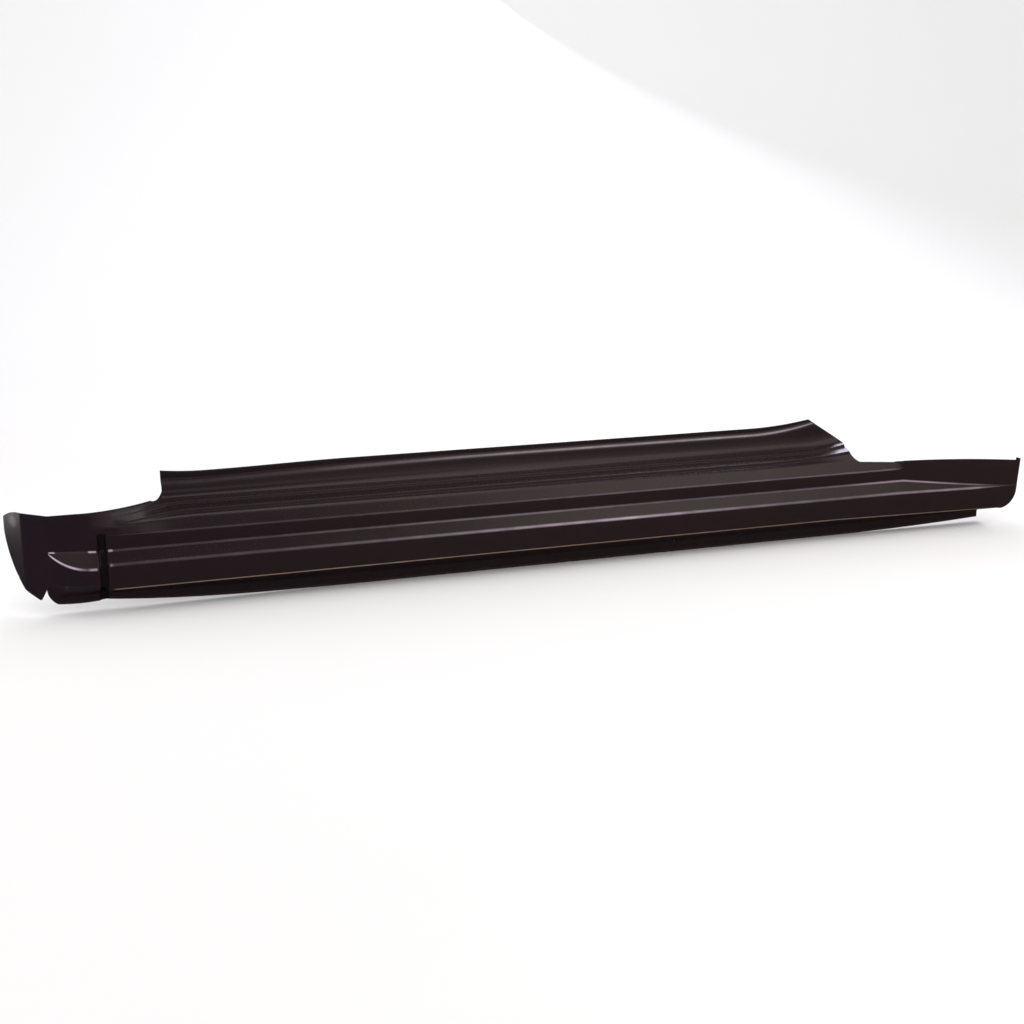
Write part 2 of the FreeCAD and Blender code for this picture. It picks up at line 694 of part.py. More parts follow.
def build():
    """The whole panel as one piece, with its origin on the pinch weld."""
    panel = pressed_sheet().fuse([arch_flange(), wheelhouse_wall()])
    panel = panel.Solids[0]
    panel.translate(FreeCAD.Vector(-DATUM_X, -PINCH_Y - SHEET, PINCH_DEPTH - WELD_LINE_UP))
    return panel


os.makedirs("parts", exist_ok=True)
build().exportStep("parts/rocker_panel.step")
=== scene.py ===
# %% [markdown]
# # A pressed steel rocker panel, in its primer
# The object is the outer skin of the sill under a car's door, pressed from one steel
# sheet and dipped in dark primer. All its character is in long creases that run from end
# to end and in how light lies along them, so this lesson spends its effort on clean
# curvature. First the measured frame is loaded, and its box is kept to compare with.

# %% Load the frame and keep its box
import bpy, math
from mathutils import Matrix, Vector


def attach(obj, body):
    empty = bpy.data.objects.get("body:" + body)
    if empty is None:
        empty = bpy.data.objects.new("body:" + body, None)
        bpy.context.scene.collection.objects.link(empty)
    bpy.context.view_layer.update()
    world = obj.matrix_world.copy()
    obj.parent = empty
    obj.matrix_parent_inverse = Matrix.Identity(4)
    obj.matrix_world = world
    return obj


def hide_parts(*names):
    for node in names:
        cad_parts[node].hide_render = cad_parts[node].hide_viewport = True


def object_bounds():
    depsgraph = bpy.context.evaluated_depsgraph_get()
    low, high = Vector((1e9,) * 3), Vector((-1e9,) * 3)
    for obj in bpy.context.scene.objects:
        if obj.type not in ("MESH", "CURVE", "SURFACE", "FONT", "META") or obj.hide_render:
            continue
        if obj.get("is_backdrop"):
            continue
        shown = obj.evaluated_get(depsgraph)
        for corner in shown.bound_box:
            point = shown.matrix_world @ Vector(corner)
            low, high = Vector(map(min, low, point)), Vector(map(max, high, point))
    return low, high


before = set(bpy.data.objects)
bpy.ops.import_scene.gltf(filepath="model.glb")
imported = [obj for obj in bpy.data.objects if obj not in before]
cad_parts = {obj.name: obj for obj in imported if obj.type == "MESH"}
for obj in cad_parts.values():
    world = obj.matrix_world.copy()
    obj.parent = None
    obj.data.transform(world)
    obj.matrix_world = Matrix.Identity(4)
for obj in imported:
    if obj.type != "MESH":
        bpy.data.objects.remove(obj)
cad_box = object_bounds()
print("nodes", list(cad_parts), "box", [[round(v, 4) for v in corner] for corner in cad_box])

# %% [markdown]
# ## How the shape is worked out
# The imported frame has the right shape, but its triangles are coarse where the sheet
# twists. A body panel is judged by its reflections, so here the same section is drawn
# again at many stations along the length, in millimetres, and turned into an even grid.
# Each station gives fifteen corner points, from the door flange down to the pinch weld.
# The drawing starts at the nose crease, with the sill line at Y = 0 and Z = 0. Two small
# helpers do most of the work: how far we are between two stations, and a soft start.

# %% Helpers that blend along the length
LENGTH = 1650.0
SHEET = 1.0

def share(x, start, end):
    return min(max((x - start) / (end - start), 0.0), 1.0)

def eased(s):
    return s * s * (3.0 - 2.0 * s)

def blend(a, b, s):
    return tuple(p + (q - p) * s for p, q in zip(a, b))

def plus(a, b):
    return tuple(p + q for p, q in zip(a, b))

print("halfway", share(LENGTH / 2, 0, LENGTH), eased(0.5))

# %% [markdown]
# ## Under the door
# From the sill line up there is a flat lower face, a sloping band, an upper face and a
# rolled shoulder. Under the sill line the sheet tucks inboard and ends in the pinch
# weld, where the car is welded to its inner sill. The sill line falls a little towards
# the rear wheel, and the weld flange is narrower at both ends.

# %% Lower part of the section
CREASE_Z, ROOT_Z, CREST_Z = 76.0, 54.5, 37.0
BAND_DEPTH, PINCH_Y, PINCH_DEPTH = 15.0, 32.0, 36.0
GROOVE_MID_X, GROOVE_END_X, PINCH_FULL_X = 74.0, 81.0, 600.0
SILL_FALL_X, QUARTER_X, PINCH_END_X = 1280.0, 1400.0, 1588.0
SILL_FALL = 7.3

def pinch_depth(x):
    if x < GROOVE_END_X:
        return 22.0 + 2.4 * math.sin(math.pi * max(x, 0.0) / GROOVE_END_X)
    if x < PINCH_FULL_X:
        return PINCH_DEPTH - 14.0 * (1.0 - share(x, GROOVE_END_X, PINCH_FULL_X)) ** 4
    return PINCH_DEPTH - 8.0 * share(x, SILL_FALL_X, PINCH_END_X) ** 2

def lower_points(x):
    depth = pinch_depth(x)
    return {
        "upper_crease": (BAND_DEPTH, CREASE_Z),
        "band_root": (BAND_DEPTH, ROOT_Z),
        "band_crest": (0.0, CREST_Z - 5.0 * share(x, QUARTER_X, LENGTH)),
        "sill_line": (0.0, -SILL_FALL * share(x, SILL_FALL_X, LENGTH)),
        "tuck_foot": (PINCH_Y, -0.53 * depth),
        "pinch_edge": (PINCH_Y, -depth),
    }

print("weld edge under the sill line", [round(pinch_depth(x), 1) for x in (0, 40, 300, 900, 1588)])

# %% [markdown]
# ## The door step
# Above the shoulder lies the step that a foot scuffs when getting in: a small upright, a
# narrow ledge, a second small upright, a wide trough that curves into the wall, and the
# weld flange that the rubber door seal is pushed on. Behind the door these lines sweep
# up to the body side, each from its own start, so the wall grows taller to the rear.

# %% Upper part of the section
STEP_FRONT_X, STEP_FULL_X, SAG_X = 170.5, 205.0, 235.0
SWEEP_X, LEDGE_SWEEP_X, BEAD_SWEEP_X = 1160.0, 1150.0, 1245.0
FLANGE_SWEEP, WALL_SWEEP, LEDGE_SWEEP, BEAD_SWEEP = 27.0, 40.0, 11.6, 48.0
DOOR_FLANGE_Y, DOOR_FLANGE_Z = 108.0, 145.5

def swept(x, start, rise):
    return rise * (max(x - start, 0.0) / 200.0) ** 2

def upper_points(x):
    ahead = (max(SAG_X - x, 0.0) / (SAG_X - STEP_FRONT_X)) ** 2
    low = 3.4 * eased(1.0 - share(x, SAG_X, SAG_X + 225.0))
    flange_z = swept(x, SWEEP_X, FLANGE_SWEEP) + 4.0 * ahead - low
    wall_z = swept(x, SWEEP_X, WALL_SWEEP) - 9.0 * (1.0 - share(x, SAG_X, SAG_X + 465.0)) ** 1.5
    ledge_foot = (39.5, 95.0 + swept(x, LEDGE_SWEEP_X, LEDGE_SWEEP))
    ledge_edge = plus(ledge_foot, (1.2, 4.8))
    bead_foot = (ledge_edge[0] + 27.0, 102.2 + swept(x, BEAD_SWEEP_X, BEAD_SWEEP))
    bead_edge = plus(bead_foot, (1.2, 3.8))
    return {
        "flange_top": (DOOR_FLANGE_Y, DOOR_FLANGE_Z + flange_z),
        "flange_foot": (DOOR_FLANGE_Y, 137.5 + (flange_z + wall_z) / 2),
        "wall_top": (99.5, 132.0 + wall_z),
        "trough": (95.5, bead_edge[1] + 1.5),
        "bead_edge": bead_edge, "bead_foot": bead_foot,
        "ledge_edge": ledge_edge, "ledge_foot": ledge_foot,
        "shoulder": (29.5, 93.0),
    }

for x in (235, 900, 1300):
    p = upper_points(x)
    print("wall height at", x, "is", round(p["wall_top"][1] - p["trough"][1], 1))

# %% [markdown]
# ## The nose
# Ahead of the door the ledge narrows and turns upright until the whole section is one
# upright line, the crease that faces the front wheel. On the way the lower face closes
# in under the band like a boat's bow. A short upright groove is pressed in just behind:
# it stiffens the end of the panel and marks where the wing's corner sits.

# %% Front end and groove
NOSE_LENGTH, NOSE_SETTLES, GROOVE_DEPTH = 64.0, (69.0, 79.0), 3.6

def nose_curl(x):
    return 1.7 * (1.0 - share(x, 0.0, 6.0)) ** 2

def turn_ledge_up(p, x):
    if x >= STEP_FULL_X:
        return
    turned = eased(min((STEP_FULL_X - x) / 135.0, 1.0))
    back = share(x, 41.0, STEP_FRONT_X)
    nose_y = BAND_DEPTH + nose_curl(x)
    foot, top = p["shoulder"], p["trough"]
    new_foot = blend(foot, (nose_y, CREASE_Z + 12.0), turned)
    new_top = (nose_y + (top[0] - nose_y) * back ** 1.75, top[1] + 6.5 * (1.0 - back) ** 2)
    for name in ("ledge_foot", "ledge_edge", "bead_foot", "bead_edge"):
        across = (p[name][0] - foot[0]) / (top[0] - foot[0])
        step = p[name][1] - blend(foot, top, across)[1]
        p[name] = plus(blend(new_foot, new_top, across), (0.0, step * (1.0 - turned)))
    p["shoulder"], p["trough"] = new_foot, new_top
    away = 1.0 - share(x, 0.0, STEP_FRONT_X)
    for i, name in enumerate(("wall_top", "flange_foot", "flange_top")):
        lean = (p[name][0] - top[0]) * (1.0 - away) if x < STEP_FRONT_X else p[name][0] - new_top[0]
        p[name] = (new_top[0] + lean, blend(p[name], (0.0, new_top[1] + 8.0 * (i + 1)), away)[1])

def shape_nose(p, x):
    settled = eased(share(x, *NOSE_SETTLES))
    front, curl = 1.0 - share(x, 0.0, NOSE_LENGTH), nose_curl(x)
    closing = front ** 2.3
    root = (BAND_DEPTH + curl, ROOT_Z + 4.5 * front)
    nose = {
        "upper_crease": (BAND_DEPTH + curl, CREASE_Z + 1.5 + 7.0 * front),
        "band_root": root,
        "band_crest": blend((0.0, CREST_Z - 4.5), (root[0], root[1] - 1.5), closing),
        "sill_line": ((BAND_DEPTH + curl) * closing, 10.0 + 6.0 * front ** 4),
    }
    for name in nose:
        p[name] = blend(nose[name], p[name], settled)

def pressed_groove(x, y, z):
    inside = max(1.0 - abs(x - GROOVE_MID_X) / 7.0, 0.0)
    depth = GROOVE_DEPTH * eased(min(1.0, inside / 0.45))
    below = 1.0 - eased(share(z, CREASE_Z + 1.0, CREASE_Z + 5.0))
    under = share(y - depth, 0.0, PINCH_Y) * share(-z, 0.0, 4.0)
    return (y + depth * below, z + 0.6 * depth * under * (1.0 - share(-z, 13.0, 20.0)))

print("nose share at 10 and 60 mm", [round(1.0 - share(x, 0.0, NOSE_LENGTH), 2) for x in (10, 60)])

# %% [markdown]
# ## The quarter
# Behind the door the step ends at a slanting cut, and a plain face takes over that runs
# outboard until it meets the crest of the band at the rear wheel arch. The wedge of band
# between them narrows to a point, which is the panel's most striking line.

# %% Rear quarter, and all the points of a station
POINT_NAMES = (
    "flange_top", "flange_foot", "wall_top", "trough", "bead_edge", "bead_foot",
    "ledge_edge", "ledge_foot", "shoulder", "upper_crease", "band_root", "band_crest",
    "sill_line", "tuck_foot", "pinch_edge",
)
QUARTER_START_X, BAND_CLOSE_X = 1416.0, 1632.0

def shape_quarter(p, x):
    settled = eased(share(x, QUARTER_X, QUARTER_START_X))
    if settled == 0.0:
        return
    out = 0.97 * (1.0 - (1.0 - share(x, QUARTER_START_X, BAND_CLOSE_X)) ** 1.4)
    root = blend(p["band_root"], p["band_crest"], out)
    p["band_root"], height = root, CREASE_Z
    for name in POINT_NAMES[9::-1]:
        p[name] = blend(p[name], (root[0] + 0.04 * (height - root[1]), height), settled)
        height += 8.5

def section_points(x):
    p = lower_points(x)
    p.update(upper_points(x))
    turn_ledge_up(p, x)
    shape_nose(p, x)
    shape_quarter(p, x)
    return [p[name] for name in POINT_NAMES]

print("stations give", len(section_points(900.0)), "corner points")

# %% [markdown]
# ## Painted highlights on the creases
# Each crease gets a painted highlight: the coat is painted pale along it where it would
# catch the light. It is strongest about the middle, and on the crest that stands out
# furthest. Beside the groove and at the nose each crease has a short painted glint. A list
# gives the painted highlight's strength at some distances along the panel, "slope" being
# the narrow face under the door flange, and every row of the mesh carries its own value.

# %% Painted highlight along each crease
PAINTED_HIGHLIGHTS = {
    "slope": ((170, 0.03), (400, 0.04), (560, 0.1), (700, 0.3), (1000, 0.36), (1300, 0.45)),
    "upper_crease": ((0, 0.0), (2, 0.9), (7, 0.9), (9, 0.04), (58, 0.04), (60, 0.6), (65, 0.6),
                     (66, 0.0), (82, 0.0), (84, 0.2), (88, 0.04), (400, 0.05), (700, 0.09),
                     (900, 0.15), (1390, 0.16), (1420, 0.0)),
    "band_root": ((0, 0.0), (2, 0.9), (8, 0.9), (10, 0.04), (54, 0.04), (56, 0.8), (65, 0.8),
                  (66, 0.0), (82, 0.0), (83, 0.7), (87, 0.7), (89, 0.05), (300, 0.07),
                  (515, 0.12), (670, 0.24), (918, 0.15), (1260, 0.15), (1420, 0.5), (1600, 0.1)),
    "band_crest": ((0, 0.5), (3, 1.0), (34, 1.0), (46, 0.3), (52, 0.15), (57, 0.6), (64, 0.6), (66, 0.0),
                   (82, 0.0), (84, 0.35), (88, 0.06), (300, 0.08), (515, 0.18), (670, 0.36), (900, 0.65),
                   (1050, 0.32), (1260, 0.16), (1420, 0.3), (1560, 0.4), (1632, 0.0)),
    "sill_line": ((84, 0.0), (90, 0.3), (400, 0.42), (900, 0.34), (1300, 0.3), (1560, 0.2),
                  (1600, 0.05)),
}

def painted_highlight_along(name, x):
    marks = PAINTED_HIGHLIGHTS.get(name, ((0, 0.0), (1, 0.0)))
    for (x0, a), (x1, b) in zip(marks, marks[1:]):
        if x <= x1:
            return a + (b - a) * share(x, x0, x1)
    return marks[-1][1]

print("crest rub at the middle", round(painted_highlight_along("band_crest", 900), 2))

# %% [markdown]
# ## Bends instead of corners
# A press can't make a sharp corner: the sheet rolls over a die with a radius. Each corner
# point becomes an arc of its own radius, and each flat between two arcs gets a few rows
# of its own. Every row also keeps its direction, so the inner skin is simply the outer
# one moved one sheet thickness inboard. The row count is the same at every station,
# which is what lets neighbouring stations be joined by plain four-sided faces. The
# lists of radii and of rows run from the door flange's foot down to the tuck's foot.

# %% Round a station's corners
RADII = (4.0, 3.0, 26.0, 1.5, 1.5, 1.5, 1.5, 14.0, 6.0, 7.0, 9.0, 3.0, 4.0)
ROOM = {1: 0.25, 2: 0.72, 3: 0.25}
ARC_ROWS = (4, 5, 12, 3, 3, 3, 3, 12, 7, 8, 9, 8, 5)
FLAT_ROWS = [3, 3, 5, 3, 3, 4, 3, 3, 9, 5, 4, 6, 4, 3]

def direction(a, b):
    return math.atan2(b[1] - a[1], b[0] - a[0])

def moved(point, angle, distance):
    return (point[0] + math.cos(angle) * distance, point[1] + math.sin(angle) * distance)

def station_rows(x):
    points = section_points(x)
    rows, start = [], points[0]
    for i in range(1, len(points) - 1):
        a, b, c = points[i - 1:i + 2]
        before, after = direction(a, b), direction(b, c)
        turn = (after - before + math.pi) % (2 * math.pi) - math.pi
        wanted = RADII[i - 1] * math.tan(abs(turn) / 2)
        room = ROOM.get(i - 1, 0.45) * min(math.dist(a, b), math.dist(b, c))
        reach = max(min(wanted, room), 0.05)
        radius = reach / max(math.tan(abs(turn) / 2), 1e-6)
        enter = moved(b, before, -reach)
        # Painted highlight: how pale the coat is painted on this bend, standing in for the light it would
        # catch.
        painted_highlight = painted_highlight_along(POINT_NAMES[i], x)
        face_highlight = painted_highlight_along("slope", x) if POINT_NAMES[i] == "wall_top" else 0.0
        flat = FLAT_ROWS[i - 1]
        rows += [(blend(start, enter, k / flat), before, face_highlight) for k in range(flat)]
        for k in range(ARC_ROWS[i - 1] + 1):
            angle = before + turn * k / ARC_ROWS[i - 1]
            chord = 2 * radius * math.sin(abs(angle - before) / 2)
            crown = math.sin(math.pi * k / ARC_ROWS[i - 1]) ** 1.5
            rows.append((moved(enter, (before + angle) / 2, chord), angle, painted_highlight * crown))
        start = moved(b, after, reach)
    flat = FLAT_ROWS[-1]
    rows += [(blend(start, points[-1], k / flat), after, 0.0) for k in range(flat + 1)]
    return [(pressed_groove(x, *point), angle, painted_highlight) for point, angle, painted_highlight in rows]

print("rows in a station", len(station_rows(900.0)))

# %% [markdown]
# ## From stations to a closed sheet
# Stations stand close together where the form changes quickly, at the nose, the groove
# and the quarter, and far apart along the straight run. The outer skin, the inner skin
# and the two long edges make one closed sheet, so it can be trimmed like real metal.

# %% Build the long pressing
ORIGIN = (915.0, 33.0, -28.5)

def in_frame(x, y, z):
    return tuple((v - o) / 1000.0 for v, o in zip((x, y, z), ORIGIN))

def spaced(start, end, step):
    count = max(round((end - start) / step), 1)
    return [start + (end - start) * k / count for k in range(count)]

def new_piece(name, vertices, faces):
    mesh = bpy.data.meshes.new(name)
    mesh.from_pydata(vertices, [], faces)
    piece = bpy.data.objects.new(name, mesh)
    bpy.context.scene.collection.objects.link(piece)
    return piece

stations = [-10.0, -3.0] + spaced(0, 6, 0.5) + spaced(6, 64, 2.0) + spaced(64, 84, 0.7)
stations += spaced(84, 205, 2.8) + spaced(205, 260, 5.0) + spaced(260, 1150, 20.0)
stations += spaced(1150, 1400, 6.0) + spaced(1400, 1416, 1.6) + spaced(1416, 1650, 5.0) + [1650.0, 1660.0]

def loft(stations):
    vertices, faces, highlight_values = [], [], []
    for x in stations:
        rows = station_rows(x)
        vertices += [in_frame(x, *point) for point, angle, painted_highlight in rows]
        inner = [moved(point, angle + math.pi / 2, SHEET) for point, angle, painted_highlight in rows[::-1]]
        vertices += [in_frame(x, *point) for point in inner]
        highlight_values += [painted_highlight for point, angle, painted_highlight in rows] + [0.0] * len(rows)
    ring = 2 * len(rows)
    for s in range(len(stations) - 1):
        for r in range(ring):
            a, b = s * ring + r, s * ring + (r + 1) % ring
            faces.append((a, b, b + ring, a + ring))
    half = ring // 2
    for s in (0, len(stations) - 1):
        for r in range(half - 1):
            face = (s * ring + r, s * ring + ring - 1 - r, s * ring + ring - 2 - r, s * ring + r + 1)
            faces.append(face if s == 0 else face[::-1])
    piece = new_piece("rocker_panel_skin", vertices, faces)
    # Each row's painted highlight strength is stored on the mesh for the primer to read.
    piece.data.attributes.new("painted_highlight", "FLOAT", "POINT").data.foreach_set("value", highlight_values)
    return piece

panel = loft(stations)
print("stations", len(stations), "faces before trimming", len(panel.data.polygons))

# %% [markdown]
# ## Trim lines
# After drawing, a press trims the blank along lines that a designer draws in side view.
# Each trim here is such a side-view outline pushed straight through the panel as a
# cutter, and a boolean takes it away. The rear cut of the step runs aslant in plan, so
# its cutter leans. Curved parts of an outline are arcs through three points.

# %% Cutters from side-view outlines
FAR = 400.0
STRIP_X, STRIP_Z = 1336.0, 91.0

def arc(a, mid, b, steps=16):
    d = 2 * (a[0] * (mid[1] - b[1]) + mid[0] * (b[1] - a[1]) + b[0] * (a[1] - mid[1]))
    sa, sm, sb = (p[0] ** 2 + p[1] ** 2 for p in (a, mid, b))
    cx = (sa * (mid[1] - b[1]) + sm * (b[1] - a[1]) + sb * (a[1] - mid[1])) / d
    cy = (sa * (b[0] - mid[0]) + sm * (a[0] - b[0]) + sb * (mid[0] - a[0])) / d
    start, middle, end = (math.atan2(p[1] - cy, p[0] - cx) for p in (a, mid, b))
    def unwrapped(angle, near):
        return near + (angle - near + math.pi) % (2 * math.pi) - math.pi
    middle = unwrapped(middle, start)
    end = unwrapped(end, middle)
    radius = math.dist(a, (cx, cy))
    return [(cx + radius * math.cos(t), cy + radius * math.sin(t))
            for t in (start + (end - start) * k / steps for k in range(steps + 1))]

def prism(name, outline, place, low, high):
    area = sum(a[0] * b[1] - b[0] * a[1] for a, b in zip(outline, outline[1:] + outline[:1]))
    outline = outline if area > 0 else outline[::-1]
    count = len(outline)
    vertices = [in_frame(*place(u, v, low)) for u, v in outline]
    vertices += [in_frame(*place(u, v, high)) for u, v in outline]
    faces = [tuple(range(count)), tuple(range(2 * count - 1, count - 1, -1))]
    faces += [(i, i + count, (i + 1) % count + count, (i + 1) % count) for i in range(count)]
    piece = new_piece(name, vertices, faces)
    bpy.context.view_layer.update()
    return piece

def through(name, outline, skew=0.0):
    return prism(name, outline, lambda x, z, y: (x + skew * y, y, z), -50.0, 350.0)

top_left = [(-FAR, FAR), (-FAR, 112.0), (41.0, 112.0)]
neck = arc((41.0, 112.0), (104.5, 110.2), (150.5, 109.4))
neck += arc((150.5, 109.4), (165.5, 110.5), (STEP_FRONT_X, 118.0))[1:]
cutters = [through("trim_nose_top", top_left + neck + [(STEP_FRONT_X, FAR)])]

REAR_CUT_X, REAR_CUT_SKEW, BEYOND = 1242.5, 0.33, 2050.0
flange_x = REAR_CUT_X + REAR_CUT_SKEW * DOOR_FLANGE_Y
corner_z = DOOR_FLANGE_Z + swept(flange_x, SWEEP_X, FLANGE_SWEEP)
rear_cut = [(REAR_CUT_X, FAR), (REAR_CUT_X, corner_z)]
rear_cut += arc((1305.0, 116.0), (1313.0, 100.0), (STRIP_X - 9.735, STRIP_Z))
rear_cut += [(BEYOND, STRIP_Z), (BEYOND, FAR)]
cutters.append(through("trim_step_rear", rear_cut, skew=REAR_CUT_SKEW))

quarter_top = [(STRIP_X, FAR), (STRIP_X, STRIP_Z), (1400.0, 86.7), (1416.0, 89.4)]
quarter_top += arc((1416.0, 89.4), (1533.0, 85.9), (1650.0, 76.8))[1:]
cutters.append(through("trim_rear_top", quarter_top + [(BEYOND, 76.8), (BEYOND, FAR)]))

rear_foot = [(PINCH_END_X, -6.48), (BEYOND, -7.7), (BEYOND, -FAR), (PINCH_END_X, -FAR)]
cutters.append(through("trim_rear_foot", rear_foot))

toe = [(0.0, FAR)] + arc((0.0, 16.0), (-4.0, -3.0), (11.0, -pinch_depth(11.0) - 0.5))
cutters.append(through("trim_toe", toe + [(11.0, -FAR), (-FAR, -FAR), (-FAR, FAR)]))

ARCH_CORNER_R = 34.0

def arch_line(inset):
    r = ARCH_CORNER_R - inset
    cx, cz = 1610.0, -SILL_FALL + ARCH_CORNER_R
    mid = (cx + r * math.sqrt(0.5), cz - r * math.sqrt(0.5))
    return arc((cx, cz - r), mid, (cx + r, cz)) + [(1651.0 - inset, 89.4)]

behind = arch_line(0.0) + [(1651.0, FAR), (BEYOND, FAR), (BEYOND, -FAR)]
behind += [(PINCH_END_X, -FAR), (PINCH_END_X, -SILL_FALL)]
cutters.append(through("trim_wheel_arch", behind))
print("cutters", [c.name for c in cutters])

# %% [markdown]
# ## The wall that faces the front wheel
# At the nose crease the sheet turns inboard into a short wall, bent once more into a
# lip. It has the same outline from the front as the photographed panel: a point at the
# foot, a long curve up round the lip and a slightly crowned top. It is one bent band,
# drawn in plan and kept only where it lies inside that front-view outline.

# %% Wheelhouse wall and its lip
WALL_START, WALL_BEND, LIP_END = (0.0, 16.7), (-33.0, 38.7), (-55.0, 72.7)

def plan_bend(points, radius, steps=14):
    a, b, c = points
    before, after = direction(a, b), direction(b, c)
    turn = (after - before + math.pi) % (2 * math.pi) - math.pi
    reach = radius * math.tan(abs(turn) / 2)
    mid_out = moved(b, (before + after) / 2 + math.copysign(math.pi / 2, turn),
                    math.hypot(radius, reach) - radius)
    return [a] + arc(moved(b, before, -reach), mid_out, moved(b, after, reach), steps) + [c]

def inboard_side(points, distance):
    line_angles = [direction(a, b) for a, b in zip(points, points[1:])]
    out = []
    for i, point in enumerate(points):
        near = line_angles[max(i - 1, 0):i + 1]
        angle = sum(near) / len(near) - math.pi / 2
        out.append(moved(point, angle, distance / math.cos((near[-1] - near[0]) / 2)))
    return out

def divided(points, step=2.5):
    out = []
    for a, b in zip(points, points[1:]):
        out += [blend(a, b, k / 100) for k in range(0, 100, max(int(100 * step / math.dist(a, b)), 1))]
    return out + [points[-1]]

wall_line = plan_bend((LIP_END, WALL_BEND, WALL_START), 14.0)
wall_line = divided(wall_line[:2]) + wall_line[2:-1] + divided(wall_line[-2:])[1:]
wall_back = inboard_side(wall_line, -SHEET)
wall_back[-1] = (0.0, WALL_START[1] + 1.2)

def upright_band(name, outline, low, high, step=4.0):
    levels, count = round((high - low) / step) + 1, len(outline)
    vertices = [in_frame(x, y, low + step * k) for k in range(levels) for x, y in outline]
    faces = [tuple(range(count))[::-1], tuple(range((levels - 1) * count, levels * count))]
    for k in range(levels - 1):
        for i in range(count):
            a, b = k * count + i, k * count + (i + 1) % count
            faces.append((a, b, b + count, a + count))
    return new_piece(name, vertices, faces)

band = upright_band("wheelhouse_wall", wall_line[::-1] + wall_back, -60.0, 180.0)

front_outline = [(-50.0, 16.0), (16.7, 16.0)]
front_outline += arc((26.0, -12.5), (61.0, 39.0), (73.7, 103.0), 28)
front_outline += arc((73.7, 103.0), (55.7, 112.5), (38.7, 114.0))[1:]
front_outline += [(16.7, 112.0), (-50.0, 112.0)]
outline_tool = prism("wall_outline", front_outline, lambda y, z, x: (x, y, z), -300.0, 300.0)
print("wall line points", len(wall_line))

# %% [markdown]
# ## The wheel arch flange
# At the rear wheel the edge is turned inboard at right angles. That flange stiffens the
# arch and is what the rear wing's lip is welded to. It follows the trimmed edge round
# the lower corner, so it is a strip swept along the same side-view line.

# %% Arch flange
ARCH_FLANGE_Y = 13.0

def skin_y(x, z):
    points = [section_points(x)[i] for i in (0, 10, 11, 12)]
    for upper, lower in zip(points, points[1:]):
        if z >= lower[1] or lower is points[-1]:
            return lower[0] + (upper[0] - lower[0]) * share(z, lower[1], upper[1])

def arch_flange():
    outer, inner = arch_line(0.0), arch_line(SHEET)
    reach = share(79.8, outer[-2][1], outer[-1][1])
    outer[-1], inner[-1] = blend(outer[-2], outer[-1], reach), blend(inner[-2], inner[-1], reach)
    def split(line):
        return line[:-1] + [blend(line[-2], line[-1], k / 12) for k in range(1, 13)]
    vertices, faces = [], []
    for (xo, zo), (xi, zi) in zip(split(outer), split(inner)):
        front_y = skin_y(min(xo, 1655.0), zo) + 0.02
        vertices += [in_frame(xo, front_y, zo), in_frame(xo, ARCH_FLANGE_Y, zo)]
        vertices += [in_frame(xi, ARCH_FLANGE_Y, zi), in_frame(xi, front_y, zi)]
    for s in range(len(vertices) // 4 - 1):
        for r in range(4):
            a, b = 4 * s + r, 4 * s + (r + 1) % 4
            faces.append((a, a + 4, b + 4, b))
    last = len(vertices) - 4
    faces += [(0, 1, 2, 3), (last + 3, last + 2, last + 1, last)]
    return new_piece("arch_flange", vertices, faces)

flange = arch_flange()
print("arch flange faces", len(flange.data.polygons))

# %% [markdown]
# ## Trim, join and shade
# The cutters are taken away one after another, then the wall and the flange are joined
# on, so that the result is one closed sheet as the real pressing is. Shading is smooth
# except at true edges, and normals are weighted by face size, which keeps the wide flats
# flat and lets only the bends carry the highlights.

# %% Booleans, then one clean mesh
def boolean(piece, tool, operation):
    modifier = piece.modifiers.new(tool.name, "BOOLEAN")
    modifier.operation, modifier.object, modifier.solver = operation, tool, "MANIFOLD"
    settled = bpy.data.meshes.new_from_object(piece.evaluated_get(bpy.context.evaluated_depsgraph_get()))
    piece.modifiers.clear()
    piece.data = settled
    bpy.data.objects.remove(tool)
    bpy.context.view_layer.update()

for cutter in cutters:
    boolean(panel, cutter, "DIFFERENCE")
boolean(band, outline_tool, "INTERSECT")
boolean(panel, band, "UNION")
boolean(panel, flange, "UNION")
panel.data.shade_smooth()
panel.data.set_sharp_from_angle(angle=math.radians(28))
weighted = panel.modifiers.new("even_normals", "WEIGHTED_NORMAL")
weighted.weight, weighted.keep_sharp = 70, True
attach(panel, "root")
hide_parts("rocker_panel")
corners = [min(v.co[i] for v in panel.data.vertices) for i in range(3)]
corners += [max(v.co[i] for v in panel.data.vertices) for i in range(3)]
print("faces", len(panel.data.polygons), "rub kept", "painted_highlight" in panel.data.attributes)
print("box", [round(v, 4) for v in corners])

# %% [markdown]
# ## Colour and node helpers
# Colours are picked as the hex values that a colour picker shows on a screen. Blender's
# shaders want linear light, so one function turns the one into the other. Pattern sizes
# are thought of in millimetres, and a noise texture wants how many fit in a metre.

# %% Helpers for materials
def colour(hex_value):
    channels = [int(hex_value[i:i + 2], 16) / 255 for i in (1, 3, 5)]
    return tuple(c / 12.92 if c <= 0.04045 else ((c + 0.055) / 1.055) ** 2.4 for c in channels) + (1.0,)

def per_metre(size_mm):
    return 1000.0 / size_mm

def add(tree, kind, settings=None, links=None):
    made = tree.nodes.new(kind)
    for key, value in (settings or {}).items():
        if isinstance(key, int) or key[0].isupper():
            made.inputs[key].default_value = value
        else:
            setattr(made, key, value)
    for key, socket in (links or {}).items():
        tree.links.new(socket, made.inputs[key])
    return made

def new_material(name):
    material = bpy.data.materials.new(name)
    material.use_nodes = True
    shader = material.node_tree.nodes["Principled BSDF"]
    return material, material.node_tree, shader

print("plum black", [round(c, 4) for c in colour("#21151a")])
